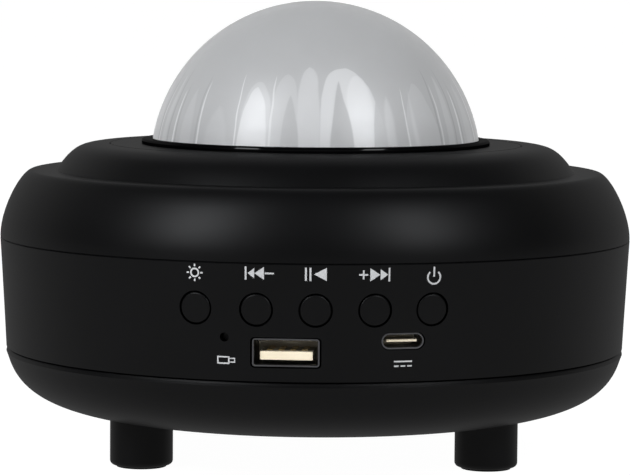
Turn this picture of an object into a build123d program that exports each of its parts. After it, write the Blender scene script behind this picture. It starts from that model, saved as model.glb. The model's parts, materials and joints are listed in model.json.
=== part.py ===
from build123d import *
import math
import os

os.makedirs("parts", exist_ok=True)

# A round table-top light projector. Lengths are in millimetres and angles in degrees.
# The front is -Y, +Z is up, and z = 0 is the table under the middle of the body.

# General clearances
overrun = 5.0
slip = 0.05
loose = 0.1
press_gap = 0.02

# Casing, stacked up from the table
floor_height = 10.25
bowl_height = 14.35
band_height = 24.1
shoulder_height = 14.7
tier_height = 5.9
casing_wall = 2.2
rim_round = 1.2
rim_facets = 4
seam_bevel = 0.2
tongue_wall = 1.6
tongue_gap = 0.15
bowl_tongue_height = 2.0
top_tongue_height = 3.0

# Casing, counted outwards from the dome's opening and then back in under the bowl
tier_land = 8.11
tier_flank = 11.6
ledge_width = 5.4
shoulder_depth = 6.95
band_taper = 1.3
bowl_depth = 26.05

# How far the casing's curves follow their start and end directions
bowl_upright_share = 0.17
bowl_floor_share = 0.94
bowl_lean_share = 0.044
shoulder_upright_share = 0.42
shoulder_ledge_share = 0.32
tier_upright_share = 1.0
tier_lean_share = 0.35
tier_top_share = 0.5

# Fine groove round the land that the dome stands on
land_groove_depth = 0.4
land_groove_width = 0.5

# Sound holes in the floor
grille_hole_radius = 0.9
grille_pitch = 3.4
grille_rings = 5
grille_ring_holes = 6

# Feet, and the screws that run up inside them and hold the casing together
foot_angles = {"foot_rear": 90, "foot_left": 210, "foot_right": 330}
foot_radius = 6.85
foot_edge_round = 1.0
spigot_radius = 5.0
spigot_height = 4.0
pad_radius = 5.4
pad_thickness = 1.6
pad_proud = 0.4
post_root_radius = 7.0
post_root_roof = 1.4
post_radius = 4.6
post_cap = 2.4
long_boss_reach = 10.7
long_boss_radius = 4.0
long_boss_gap = 0.2
driver_bore_radius = 3.2
casing_screw_radius = 1.45
casing_screw_length = 12.0
casing_head_radius = 2.75
casing_head_height = 2.0

# Dome, its bezel and its seal
dome_radius = 36.8
dome_sink = 5.05
dome_wall = 3.2
dome_flange_width = 2.4
dome_flange_height = 2.0
flute_count = 20
flute_tool_radius = 9.0
flute_skin = 1.8
flute_top_angle = 35
bezel_gap = 0.12
bezel_skirt_wall = 0.85
bezel_lip = 0.8
bezel_rise = 1.15
bezel_round = 0.5
bezel_facets = 3
gasket_thickness = 0.8
gasket_width = 2.2

# Optics deck and its light skirt
skirt_height = 12.3
skirt_wall = 2.0
deck_thickness = 2.0
deck_ledge = 11.4
deck_screw_inset = 4.5
deck_screw_angles = [30, 150, 270]
deck_boss_radius = 3.4
deck_screw_radius = 1.2
deck_screw_length = 9.0
deck_head_radius = 2.4
deck_head_height = 1.6
boss_hole_gap = 0.25
pinion_window_gap = 1.0

# Heat sink and light board
pedestal_radius = 17.8
sink_flange_radius = 22.0
sink_flange_height = 3.0
fin_count = 7
fin_pitch = 5.0
fin_thickness = 1.5
fin_height = 6.0
led_board_radius = 20.0
led_board_hole_radius = 4.5
led_board_thickness = 1.6
led_circle = 12.0
led_count = 4
led_side = 5.0
led_round = 0.8
led_base_height = 0.8
led_lens_radius = 1.5
led_screw_angles = [0, 180]
led_screw_circle = 16.0
led_screw_radius = 1.0
led_screw_length = 6.0
led_head_radius = 1.9
led_head_height = 1.2
led_plug_width = 6.0
led_plug_depth = 3.0
led_plug_height = 2.2
led_plug_reach = 16.0

# Rippled wheel on its spindle
spindle_radius = 1.5
spindle_root = 4.5
spindle_tail = 2.0
collar_radius = 3.0
collar_height = 3.0
hub_radius = 4.5
hub_height = 5.0
web_drop = 2.0
web_thickness = 2.0
ripple_count = 6
ripple_rise = 0.7
wheel_gap = 6.1
wheel_teeth = 60
pinion_teeth = 18
pressure_angle = 20
gear_backlash = 0.3
root_depth_share = 1.25
gear_drop = 1.5
gear_width = 3.0
rim_land = 1.5
clip_radius = 3.2
clip_height = 0.8
pinion_extra = 0.5

# Geared motor under the deck
motor_angle = 60
motor_width = 12.0
motor_depth = 10.0
gearbox_height = 9.0
can_height = 15.0
can_round = 3.0
shaft_radius = 1.5
shaft_seat = 6.0
shaft_tail = 0.8
shaft_hole_gap = 0.7
strap_thickness = 1.0
strap_height = 6.0
strap_ear = 6.0
strap_ear_thickness = 1.2
motor_screw_radius = 0.95
motor_screw_length = 3.0
motor_head_radius = 1.8
motor_head_height = 1.2

# Control panel, heights counted from the lower seam and angles from the front
button_names = ["light", "previous", "play", "next", "power"]
button_angles = [-20.6, -10.0, 0.0, 10.0, 20.0]
button_row = 14.7
button_radius = 3.2
button_gap = 0.3
button_edge_round = 0.4
button_flange_radius = 4.2
button_flange_height = 1.0
button_stem_radius = 1.5
button_stem_length = 2.9
button_travel = 0.5
plunger_radius = 1.7
plunger_reach = 1.9
plunger_hidden = 1.6
pocket_spare = 0.5
tact_width = 6.0
tact_depth = 4.0
tact_crown = 2.5
mic_angle = -15.5
mic_row = 8.9
mic_hole_radius = 0.93
mic_radius = 2.2
mic_length = 2.0
mic_wall_left = 0.4
mic_collar_wall = 0.9

# Memory-stick socket
usb_a_angle = -5
usb_a_row = 5.95
usb_a_cut_width = 14.5
usb_a_cut_height = 6.3
usb_a_cut_round = 0.9
usb_a_width = 13.7
usb_a_height = 5.7
usb_a_round = 0.6
usb_a_depth = 14.0
usb_a_sheet = 0.3
usb_a_back = 4.0
tongue_width = 10.7
tongue_thickness = 1.7
tongue_drop = 0.75
tongue_recess = 1.2
contact_count = 4
contact_pitch = 2.4
contact_width = 1.2
contact_thickness = 0.15
contact_length = 6.5
socket_sink = 0.6

# Power inlet
usb_c_angle = 15
usb_c_row = 8.3
usb_c_cut_width = 9.3
usb_c_cut_height = 3.6
usb_c_width = 8.94
usb_c_height = 3.26
usb_c_sheet = 0.3
usb_c_depth = 7.35
usb_c_back = 1.8
inlet_tongue_width = 6.3
inlet_tongue_thickness = 0.45
inlet_tongue_recess = 0.8

# Main board
board_thickness = 1.6
board_gap = 2.45
board_notch_gap = 0.2
board_post_radius = 3.2
board_post_inset = 24.0
board_post_ahead = 10.0
board_post_gap = 1.2
board_screw_radius = 1.0
board_screw_length = 7.0
board_head_radius = 2.0
board_head_height = 1.4
lead_socket_width = 5.4
lead_socket_depth = 5.0
lead_socket_height = 5.6
capacitor_radius = 3.0
capacitor_height = 7.5
capacitor_pitch = 9.0
capacitor_inset = 8.0
capacitor_ahead = 12.0
chip_inset = 10.0
chip_side = 8.0
chip_gap = 5.0
chip_sizes = [(9.0, 9.0, 2.2), (7.0, 7.0, 1.4), (5.0, 4.0, 1.4)]

# Speaker, facing down
speaker_gasket_thickness = 0.8
speaker_flange_radius = 26.0
speaker_sheet = 0.8
basket_rim_radius = 22.3
basket_rim_height = 4.4
basket_back_radius = 14.6
basket_height = 10.6
basket_window_radius = 3.2
basket_window_circle = 18.0
basket_window_count = 4
magnet_radius = 14.0
magnet_height = 7.0
coil_gap_depth = 5.5
coil_gap_inner = 6.1
coil_gap_outer = 7.7
coil_hole_gap = 0.5
cone_edge_radius = 17.4
cone_lift = 1.6
cone_depth = 4.8
cone_paper = 0.5
former_inner = 6.75
former_outer = 7.05
former_dip = 4.0
dust_cap_bulge = 2.4
roll_rise = 2.0
spider_lift = 8.3
spider_thickness = 0.4
spider_dip = 1.3
speaker_screw_circle = 24.2
speaker_screw_count = 4
speaker_screw_radius = 0.85
speaker_screw_bite = 1.7
speaker_head_radius = 1.7
speaker_head_height = 1.2

# Leads inside the casing, and their sockets along the back of the board
lead_radius = 0.8
lead_bend = 5.0
lead_hole_gap = 1.6
lead_socket_ahead = 3.5
speaker_lead_side = -11.0
speaker_lead_drop = 21.6
led_lead_side = 3.0
led_lead_gap = 3.5
led_lead_run = 6.0
led_lead_bend = 2.5
motor_lead_side = 14.0
motor_lead_dip = 5.5
motor_lead_turn = 10.0
motor_lead_knee = (18.0, 16.0, 30.0)
motor_lead_back = 27.0
motor_lead_bends = [20.0, 12.0, 4.0, 3.0]

# Heights and radii that follow from the sizes above
floor_z = floor_height
inside_floor_z = floor_z + casing_wall
lower_seam_z = floor_z + bowl_height
upper_seam_z = lower_seam_z + band_height
ledge_z = upper_seam_z + shoulder_height
tier_z = ledge_z + tier_height
tier_under_z = tier_z - casing_wall
bowl_rim_z = lower_seam_z - rim_round
post_top_z = upper_seam_z - long_boss_reach

dome_centre_z = tier_z - dome_sink
dome_flange_z = tier_under_z - dome_flange_height
dome_flange_radius = dome_radius + dome_flange_width
dome_inner_radius = dome_radius - dome_wall
skirt_top_z = dome_flange_z - gasket_thickness
deck_top_z = skirt_top_z - skirt_height
deck_z = deck_top_z - deck_thickness
skirt_outer_radius = dome_flange_radius - loose
skirt_inner_radius = skirt_outer_radius - skirt_wall
deck_radius = skirt_outer_radius + deck_ledge
deck_screw_circle = deck_radius - deck_screw_inset
foot_circle = skirt_outer_radius + long_boss_gap + long_boss_radius

opening_radius = dome_radius + bezel_gap + bezel_skirt_wall + bezel_gap
tier_top_radius = opening_radius + tier_land
tier_radius = tier_top_radius + tier_flank
ledge_radius = tier_radius + ledge_width
body_radius = ledge_radius + shoulder_depth
band_foot_radius = body_radius - band_taper
floor_flat_radius = band_foot_radius - bowl_depth
rim_land_radius = band_foot_radius - rim_round
bowl_tongue_outer = band_foot_radius - casing_wall - tongue_gap
bowl_tongue_inner = bowl_tongue_outer - tongue_wall

hub_z = deck_top_z + collar_height + loose
web_z = hub_z + web_drop
gear_z = hub_z + gear_drop
gear_module = (skirt_inner_radius - wheel_gap) / (wheel_teeth / 2 + 1)
wheel_pitch_radius = gear_module * wheel_teeth / 2
pinion_pitch_radius = gear_module * pinion_teeth / 2
pinion_tip_radius = pinion_pitch_radius + gear_module
wheel_root_radius = wheel_pitch_radius - root_depth_share * gear_module
gear_centres = wheel_pitch_radius + pinion_pitch_radius
gearbox_z = deck_z - gearbox_height
can_z = gearbox_z - can_height

button_z = lower_seam_z + button_row
mic_z = lower_seam_z + mic_row
usb_a_z = lower_seam_z + usb_a_row
usb_c_z = lower_seam_z + usb_c_row
board_z = usb_a_z + usb_a_height / 2
board_top_z = board_z + board_thickness
board_radius = band_foot_radius - casing_wall - board_gap
lead_socket_back = sink_flange_radius + led_lead_gap + led_lead_run
board_back = lead_socket_back - lead_socket_ahead
board_post_side = board_radius - board_post_inset
board_post_front = board_back + board_post_ahead
capacitor_side = board_post_side - capacitor_inset
capacitor_front = board_back + capacitor_ahead
chip_front = lead_socket_back + lead_socket_depth + chip_gap

speaker_z = inside_floor_z + speaker_gasket_thickness
basket_back_z = speaker_z + basket_height
cone_z = speaker_z + cone_lift
basket_inner_radius = basket_rim_radius - speaker_sheet


def polar(radius, angle):
    """Point in plan at a radius and an angle from +X."""
    turn = math.radians(angle)
    return (radius * math.cos(turn), radius * math.sin(turn))


def facing(angle, height):
    """Plane on the body's axis that faces outwards at an angle to the right of the front."""
    turn = math.radians(angle)
    right = (math.cos(turn), math.sin(turn), 0)
    outwards = (math.sin(turn), -math.cos(turn), 0)
    return Plane(origin=(0, 0, height), x_dir=right, z_dir=outwards)


def band_radius(height):
    """Outer radius of the control band at a height."""
    rise = (height - lower_seam_z) / band_height
    return band_foot_radius + (body_radius - band_foot_radius) * rise


def sphere_reach(radius, height):
    """Radius in plan of a ball round the dome's centre at a height."""
    return math.sqrt(radius**2 - (height - dome_centre_z) ** 2)


def sphere_angle(radius, height):
    """Latitude of a height on a ball round the dome's centre."""
    return math.degrees(math.asin((height - dome_centre_z) / radius))


def casing_curve(upright, level, upright_share, level_share, lean_share=0):
    """Smooth curve from a point where the wall stands upright to one where it lies level."""
    lean = lean_share * (level[0] - upright[0])
    rise = upright_share * (level[1] - upright[1])
    run = level_share * (upright[0] - level[0])
    Bezier(upright, (upright[0] + lean, upright[1] + rise), (level[0] + run, level[1]), level)


def rounded_corner(centre, radius, facets):
    """Points of a quarter round in flats, from its outer end up to its top."""
    return [
        (centre[0] + radius * math.cos(turn), centre[1] + radius * math.sin(turn))
        for turn in (math.pi / 2 * step / facets for step in range(facets + 1))
    ]


def upright_pins(radius, spots, base_z, height, mode=Mode.ADD):
    """Adds or cuts upright round pins of one size in the part that is being made."""
    with BuildSketch(Plane.XY.offset(base_z)) as section:
        with Locations(*spots):
            Circle(radius)
    extrude(section.sketch, amount=height, mode=mode)


def facing_pin(radius, angle, height, start, end, mode=Mode.ADD):
    """Adds or cuts a round pin along a line out from the axis, between two distances from it."""
    with BuildSketch(facing(angle, height).offset(start)) as section:
        Circle(radius)
    extrude(section.sketch, amount=end - start, mode=mode)


def screws(spots, seat_z, head_radius, head_height, shank_radius, length, points_up):
    """Group of round-head screws whose heads sit on one height."""
    way = 1 if points_up else -1
    with BuildPart() as group:
        upright_pins(head_radius, spots, seat_z, -way * head_height)
        upright_pins(shank_radius, spots, seat_z, way * length)
    return group


def save(piece, name):
    """Names a finished piece and writes it out."""
    piece.part.label = name
    export_step(piece.part, f"parts/{name}.step")


foot_spots = [polar(foot_circle, angle) for angle in foot_angles.values()]
deck_screw_spots = [polar(deck_screw_circle, angle) for angle in deck_screw_angles]
led_screw_spots = [polar(led_screw_circle, angle) for angle in led_screw_angles]
usb_a_mouth = band_radius(usb_a_z) - socket_sink
usb_a_tail = usb_a_mouth - usb_a_depth
board_post_middle = usb_a_tail - board_post_gap - board_post_radius
board_screw_spots = [
    (-board_post_side, -board_post_front),
    (board_post_side, -board_post_front),
    (0, -board_post_middle),
]
speaker_screw_spots = [
    polar(speaker_screw_circle, 45 + 360 * place / speaker_screw_count)
    for place in range(speaker_screw_count)
]
motor_spot = polar(gear_centres, motor_angle)
motor_turn = motor_angle + 90
strap_hole_side = motor_width / 2 + strap_thickness + strap_ear / 2
ear_offset = polar(strap_hole_side, motor_turn)
motor_screw_spots = [
    (motor_spot[0] - ear_offset[0], motor_spot[1] - ear_offset[1]),
    (motor_spot[0] + ear_offset[0], motor_spot[1] + ear_offset[1]),
]


# Lower casing: bowl with the sound holes, the foot sockets and the posts
spigot_hole_radius = spigot_radius + press_gap
post_root_top_z = floor_z + spigot_height + post_root_roof
post_seat_z = post_top_z - post_cap
bowl_shares = (bowl_upright_share, bowl_floor_share, bowl_lean_share)
with BuildPart() as base_bowl:
    with BuildSketch(Plane.XZ):
        with BuildLine():
            Line((0, floor_z), (floor_flat_radius, floor_z))
            casing_curve(
                (band_foot_radius, bowl_rim_z),
                (floor_flat_radius, floor_z),
                *bowl_shares,
            )
            Polyline(*rounded_corner((rim_land_radius, bowl_rim_z), rim_round, rim_facets))
            Polyline(
                (rim_land_radius, lower_seam_z),
                (bowl_tongue_outer, lower_seam_z),
                (bowl_tongue_outer, lower_seam_z + bowl_tongue_height),
                (bowl_tongue_inner, lower_seam_z + bowl_tongue_height),
                (bowl_tongue_inner, bowl_rim_z),
            )
            casing_curve(
                (bowl_tongue_inner, bowl_rim_z),
                (floor_flat_radius, inside_floor_z),
                *bowl_shares,
            )
            Polyline((floor_flat_radius, inside_floor_z), (0, inside_floor_z), (0, floor_z))
        make_face()
    revolve(axis=Axis.Z)
    upright_pins(post_root_radius, foot_spots, inside_floor_z, post_root_top_z - inside_floor_z)
    upright_pins(post_radius, foot_spots, inside_floor_z, post_top_z - inside_floor_z)
    upright_pins(board_post_radius, board_screw_spots, inside_floor_z, board_z - inside_floor_z)
    with BuildSketch(Plane.XY.offset(floor_z - overrun)):
        Circle(grille_hole_radius)
        for ring in range(1, grille_rings + 1):
            with PolarLocations(ring * grille_pitch, ring * grille_ring_holes):
                Circle(grille_hole_radius)
    extrude(amount=casing_wall + 2 * overrun, mode=Mode.SUBTRACT)
    upright_pins(spigot_hole_radius, foot_spots, floor_z, spigot_height, Mode.SUBTRACT)
    upright_pins(driver_bore_radius, foot_spots, floor_z, post_seat_z - floor_z, Mode.SUBTRACT)
    upright_pins(casing_screw_radius + loose, foot_spots, floor_z, post_top_z - floor_z, Mode.SUBTRACT)
    upright_pins(
        board_screw_radius + slip, board_screw_spots, board_z, -board_screw_length, Mode.SUBTRACT
    )
    upright_pins(
        speaker_screw_radius + slip, speaker_screw_spots, inside_floor_z, -speaker_screw_bite, Mode.SUBTRACT
    )
save(base_bowl, "base_bowl")

# Middle casing: band with the control panel's holes and the microphone's collar
usb_a_plane = facing(usb_a_angle, usb_a_z)
usb_c_plane = facing(usb_c_angle, usb_c_z)
mic_wall_radius = band_radius(mic_z) - casing_wall
mic_front = mic_wall_radius - mic_wall_left
mic_back = mic_front - mic_length
mic_collar_radius = mic_radius + slip + mic_collar_wall
button_hole_radius = button_radius + button_gap
panel_cut_start = band_foot_radius - casing_wall - overrun
panel_cut_end = body_radius + overrun
with BuildPart() as control_band:
    with BuildSketch(Plane.XZ):
        with BuildLine():
            Polyline(
                (band_foot_radius, lower_seam_z),
                (body_radius, upper_seam_z - seam_bevel),
                (body_radius - seam_bevel, upper_seam_z),
                (body_radius - casing_wall, upper_seam_z),
                (band_foot_radius - casing_wall, lower_seam_z),
                close=True,
            )
        make_face()
    revolve(axis=Axis.Z)
    facing_pin(mic_collar_radius, mic_angle, mic_z, mic_back, mic_wall_radius + casing_wall / 2)
    facing_pin(mic_radius + slip, mic_angle, mic_z, mic_back, mic_front, Mode.SUBTRACT)
    facing_pin(mic_hole_radius, mic_angle, mic_z, mic_back, panel_cut_end, Mode.SUBTRACT)
    for angle in button_angles:
        facing_pin(button_hole_radius, angle, button_z, panel_cut_start, panel_cut_end, Mode.SUBTRACT)
    with BuildSketch(usb_a_plane.offset(panel_cut_start)):
        RectangleRounded(usb_a_cut_width, usb_a_cut_height, usb_a_cut_round)
    with BuildSketch(usb_c_plane.offset(panel_cut_start)):
        SlotOverall(usb_c_cut_width, usb_c_cut_height)
    extrude(amount=panel_cut_end - panel_cut_start, mode=Mode.SUBTRACT)
save(control_band, "control_band")

# Upper casing: shoulder, ledge and tier, with the long bosses and the deck's bosses
tier_level_shares = (tier_upright_share, tier_top_share, tier_lean_share)
boss_top_z = tier_under_z + casing_wall / 2
top_tongue_z = upper_seam_z - top_tongue_height
top_tongue_outer = band_radius(top_tongue_z) - casing_wall - tongue_gap
top_tongue_inner = top_tongue_outer - tongue_wall
with BuildPart() as top_casing:
    with BuildSketch(Plane.XZ):
        with BuildLine():
            casing_curve(
                (body_radius, upper_seam_z + seam_bevel),
                (ledge_radius, ledge_z),
                shoulder_upright_share,
                shoulder_ledge_share,
            )
            Line((ledge_radius, ledge_z), (tier_radius, ledge_z))
            casing_curve((tier_radius, ledge_z), (tier_top_radius, tier_z), *tier_level_shares)
            Polyline(
                (tier_top_radius, tier_z),
                (tier_top_radius - land_groove_width / 2, tier_z - land_groove_depth),
                (tier_top_radius - land_groove_width, tier_z),
                (opening_radius, tier_z),
                (opening_radius, tier_under_z),
                (tier_top_radius, tier_under_z),
            )
            casing_curve(
                (tier_radius - casing_wall, ledge_z - casing_wall),
                (tier_top_radius, tier_under_z),
                *tier_level_shares,
            )
            Line(
                (tier_radius - casing_wall, ledge_z - casing_wall),
                (ledge_radius - casing_wall, ledge_z - casing_wall),
            )
            casing_curve(
                (top_tongue_inner, upper_seam_z),
                (ledge_radius - casing_wall, ledge_z - casing_wall),
                shoulder_upright_share,
                shoulder_ledge_share,
            )
            Polyline(
                (top_tongue_inner, upper_seam_z),
                (top_tongue_inner, top_tongue_z),
                (top_tongue_outer, top_tongue_z),
                (top_tongue_outer, upper_seam_z),
                (body_radius - seam_bevel, upper_seam_z),
                (body_radius, upper_seam_z + seam_bevel),
            )
        make_face()
    revolve(axis=Axis.Z)
    upright_pins(long_boss_radius, foot_spots, post_top_z, boss_top_z - post_top_z)
    upright_pins(deck_boss_radius, deck_screw_spots, deck_top_z, boss_top_z - deck_top_z)
    upright_pins(casing_screw_radius + slip, foot_spots, post_top_z, casing_screw_length, Mode.SUBTRACT)
    upright_pins(deck_screw_radius + slip, deck_screw_spots, deck_top_z, deck_screw_length, Mode.SUBTRACT)
save(top_casing, "top_casing")

# Feet with their pads, and the casing screws up inside them
pad_recess = pad_thickness - pad_proud
for name, angle in foot_angles.items():
    spot = [polar(foot_circle, angle)]
    with BuildPart() as foot:
        upright_pins(foot_radius, spot, pad_proud, floor_z - pad_proud)
        fillet(foot.edges().group_by(Axis.Z)[0], radius=foot_edge_round)
        upright_pins(spigot_radius, spot, floor_z, spigot_height)
        upright_pins(driver_bore_radius, spot, pad_proud, floor_z + spigot_height, Mode.SUBTRACT)
        upright_pins(pad_radius + slip, spot, pad_proud, pad_recess, Mode.SUBTRACT)
    save(foot, name)

with BuildPart() as foot_pads:
    upright_pins(pad_radius, foot_spots, 0, pad_thickness)
save(foot_pads, "foot_pads")

casing_screws = screws(
    foot_spots,
    post_seat_z,
    casing_head_radius,
    casing_head_height,
    casing_screw_radius,
    post_cap + casing_screw_length - loose,
    True,
)
save(casing_screws, "casing_screws")

# Dome: clear shell with a flange, fluted inside from the flange to the crown
flute_track = dome_radius - flute_skin - flute_tool_radius
flute_end = polar(flute_track, flute_top_angle)
with BuildPart() as flute_tool:
    with BuildSketch(Plane.XY.offset(dome_centre_z)):
        with Locations((flute_track, 0)):
            Circle(flute_tool_radius)
    revolve(axis=Axis((0, 0, dome_centre_z), (0, -1, 0)), revolution_arc=flute_top_angle)
    with Locations((flute_end[0], 0, dome_centre_z + flute_end[1])):
        Sphere(flute_tool_radius)

dome_foot_angle = sphere_angle(dome_radius, tier_under_z)
dome_inner_angle = sphere_angle(dome_inner_radius, dome_flange_z)
with BuildPart() as dome:
    with BuildSketch(Plane.XZ):
        with BuildLine():
            CenterArc((0, dome_centre_z), dome_radius, dome_foot_angle, 90 - dome_foot_angle)
            Line((0, dome_centre_z + dome_radius), (0, dome_centre_z + dome_inner_radius))
            CenterArc((0, dome_centre_z), dome_inner_radius, dome_inner_angle, 90 - dome_inner_angle)
            Polyline(
                (sphere_reach(dome_inner_radius, dome_flange_z), dome_flange_z),
                (dome_flange_radius, dome_flange_z),
                (dome_flange_radius, tier_under_z),
                (sphere_reach(dome_radius, tier_under_z), tier_under_z),
            )
        make_face()
    revolve(axis=Axis.Z)
    with PolarLocations(0, flute_count, start_angle=180 / flute_count):
        add(flute_tool.part, mode=Mode.SUBTRACT)
save(dome, "dome")

# Bezel: thin ring that drops between the dome and the casing's opening
bezel_top_z = tier_z + bezel_rise
bezel_outer_radius = opening_radius + bezel_lip
bezel_corner = (bezel_outer_radius - bezel_round, bezel_top_z - bezel_round)
with BuildPart() as dome_bezel:
    with BuildSketch(Plane.XZ):
        with BuildLine():
            Polyline(
                (bezel_outer_radius, bezel_top_z - bezel_round),
                (bezel_outer_radius, tier_z),
                (opening_radius - bezel_gap, tier_z),
                (opening_radius - bezel_gap, tier_under_z + bezel_gap),
                (dome_radius + bezel_gap, tier_under_z + bezel_gap),
                (sphere_reach(dome_radius, bezel_top_z) + bezel_gap, bezel_top_z),
                (bezel_outer_radius - bezel_round, bezel_top_z),
            )
            Polyline(*rounded_corner(bezel_corner, bezel_round, bezel_facets))
        make_face()
    revolve(axis=Axis.Z)
save(dome_bezel, "dome_bezel")

# Seal between the dome's flange and the light skirt
with BuildPart() as dome_gasket:
    with BuildSketch(Plane.XY.offset(skirt_top_z)):
        Circle(dome_flange_radius)
        Circle(dome_flange_radius - gasket_width, mode=Mode.SUBTRACT)
    extrude(amount=gasket_thickness)
save(dome_gasket, "dome_gasket")

# Optics deck: floor and light skirt, with a window that lets the pinion reach the wheel
deck_hole_radius = pedestal_radius + loose
led_lead_spot = (led_lead_side, -sink_flange_radius - led_lead_gap)
pinion_window_radius = pinion_tip_radius + pinion_window_gap
pinion_height = gear_width + 2 * pinion_extra
pinion_z = gear_z - pinion_extra
with BuildPart() as optics_deck:
    with BuildSketch(Plane.XY.offset(deck_z)):
        Circle(deck_radius)
        Circle(deck_hole_radius, mode=Mode.SUBTRACT)
        with Locations(*foot_spots):
            Circle(long_boss_radius + boss_hole_gap, mode=Mode.SUBTRACT)
        with Locations(*deck_screw_spots):
            Circle(deck_screw_radius + loose, mode=Mode.SUBTRACT)
        with Locations(led_lead_spot):
            Circle(lead_radius + lead_hole_gap, mode=Mode.SUBTRACT)
        with Locations(motor_spot):
            Circle(shaft_radius + shaft_hole_gap, mode=Mode.SUBTRACT)
    extrude(amount=deck_thickness)
    with BuildSketch(Plane.XY.offset(deck_z)):
        Circle(skirt_outer_radius)
        Circle(skirt_inner_radius, mode=Mode.SUBTRACT)
    extrude(amount=deck_thickness + skirt_height)
    upright_pins(
        pinion_window_radius,
        [motor_spot],
        pinion_z - pinion_window_gap,
        pinion_height + 2 * pinion_window_gap,
        Mode.SUBTRACT,
    )
    upright_pins(shaft_radius + shaft_hole_gap, [motor_spot], deck_z, pinion_z - deck_z, Mode.SUBTRACT)
    upright_pins(motor_screw_radius + slip, motor_screw_spots, deck_z, deck_thickness, Mode.SUBTRACT)
save(optics_deck, "optics_deck")

deck_screws = screws(
    deck_screw_spots,
    deck_z,
    deck_head_radius,
    deck_head_height,
    deck_screw_radius,
    deck_thickness + deck_screw_length - loose,
    True,
)
save(deck_screws, "deck_screws")

# Heat sink: flange under the deck, pedestal up through it and fins below
sink_z = deck_z - sink_flange_height
with BuildPart() as heat_sink:
    upright_pins(sink_flange_radius, [(0, 0)], sink_z, sink_flange_height)
    upright_pins(pedestal_radius, [(0, 0)], deck_z, deck_thickness)
    with BuildSketch(Plane.XY.offset(sink_z)):
        with GridLocations(fin_pitch, 0, fin_count, 1):
            Rectangle(fin_thickness, 2 * sink_flange_radius)
        Circle(sink_flange_radius, mode=Mode.INTERSECT)
    extrude(amount=-fin_height)
    upright_pins(spindle_radius + slip, [(0, 0)], deck_top_z, -spindle_root, Mode.SUBTRACT)
    upright_pins(
        led_screw_radius + slip,
        led_screw_spots,
        deck_top_z,
        led_board_thickness - led_screw_length,
        Mode.SUBTRACT,
    )
save(heat_sink, "heat_sink")

# Light board with four emitters and the plug of its lead
led_top_z = deck_top_z + led_board_thickness
with BuildPart() as led_board:
    with BuildSketch(Plane.XY.offset(deck_top_z)):
        Circle(led_board_radius)
        Circle(led_board_hole_radius, mode=Mode.SUBTRACT)
        with Locations(*led_screw_spots):
            Circle(led_screw_radius + loose, mode=Mode.SUBTRACT)
    extrude(amount=led_board_thickness)
save(led_board, "led_board")

with BuildPart() as led_emitters:
    with BuildSketch(Plane.XY.offset(led_top_z)):
        with PolarLocations(led_circle, led_count, start_angle=45):
            RectangleRounded(led_side, led_side, led_round)
    extrude(amount=led_base_height)
    with Locations((0, 0, led_top_z + led_base_height)):
        with PolarLocations(led_circle, led_count, start_angle=45):
            Sphere(led_lens_radius, arc_size1=0)
save(led_emitters, "led_emitters")

with BuildPart() as led_plug:
    with BuildSketch(Plane.XY.offset(led_top_z)):
        with Locations((led_lead_spot[0], -led_plug_reach)):
            Rectangle(led_plug_width, led_plug_depth)
    extrude(amount=led_plug_height)
save(led_plug, "led_plug")

led_screws = screws(
    led_screw_spots,
    led_top_z,
    led_head_radius,
    led_head_height,
    led_screw_radius,
    led_screw_length - loose,
    False,
)
save(led_screws, "led_screws")

# Spindle with its collar, and the clip that keeps the wheel on it
clip_z = hub_z + hub_height + loose
spindle_foot_z = deck_top_z - spindle_root
spindle_top_z = clip_z + clip_height + spindle_tail
with BuildPart() as wheel_spindle:
    upright_pins(spindle_radius, [(0, 0)], spindle_foot_z, spindle_top_z - spindle_foot_z)
    upright_pins(collar_radius, [(0, 0)], deck_top_z, collar_height)
save(wheel_spindle, "wheel_spindle")

with BuildPart() as spindle_clip:
    with BuildSketch(Plane.XY.offset(clip_z)):
        Circle(clip_radius)
        Circle(spindle_radius + press_gap, mode=Mode.SUBTRACT)
    extrude(amount=clip_height)
save(spindle_clip, "spindle_clip")


def involute(angle):
    """Involute of a pressure angle, in radians."""
    return math.tan(angle) - angle


def flank_angle(teeth, radius):
    """Half of a tooth's angle at a radius, in degrees."""
    pitch_radius = gear_module * teeth / 2
    base_radius = pitch_radius * math.cos(math.radians(pressure_angle))
    half_tooth = math.pi / (2 * teeth) - gear_backlash / (4 * pitch_radius)
    local = math.acos(min(1, base_radius / radius))
    return math.degrees(half_tooth + involute(math.radians(pressure_angle)) - involute(local))


def gear_outline(teeth, spin):
    """Closed toothed outline round the origin, with one tooth at the angle spin."""
    pitch_radius = gear_module * teeth / 2
    base_radius = pitch_radius * math.cos(math.radians(pressure_angle))
    root_radius = pitch_radius - root_depth_share * gear_module
    tip_radius = pitch_radius + gear_module
    start_radius = max(root_radius, base_radius)
    flank_radii = [start_radius, (start_radius + pitch_radius) / 2, pitch_radius, tip_radius]
    half_step = 180 / teeth
    for tooth in range(teeth):
        middle = spin + 2 * half_step * tooth
        rising = [polar(radius, middle - flank_angle(teeth, radius)) for radius in flank_radii]
        falling = [polar(radius, middle + flank_angle(teeth, radius)) for radius in reversed(flank_radii)]
        foot = flank_angle(teeth, start_radius)
        if start_radius > root_radius:
            Line(polar(root_radius, middle - foot), rising[0])
            Line(falling[-1], polar(root_radius, middle + foot))
        Spline(*rising)
        ThreePointArc(rising[-1], polar(tip_radius, middle), falling[0])
        Spline(*falling)
        ThreePointArc(
            polar(root_radius, middle + foot),
            polar(root_radius, middle + half_step),
            polar(root_radius, middle + 2 * half_step - foot),
        )


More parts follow.
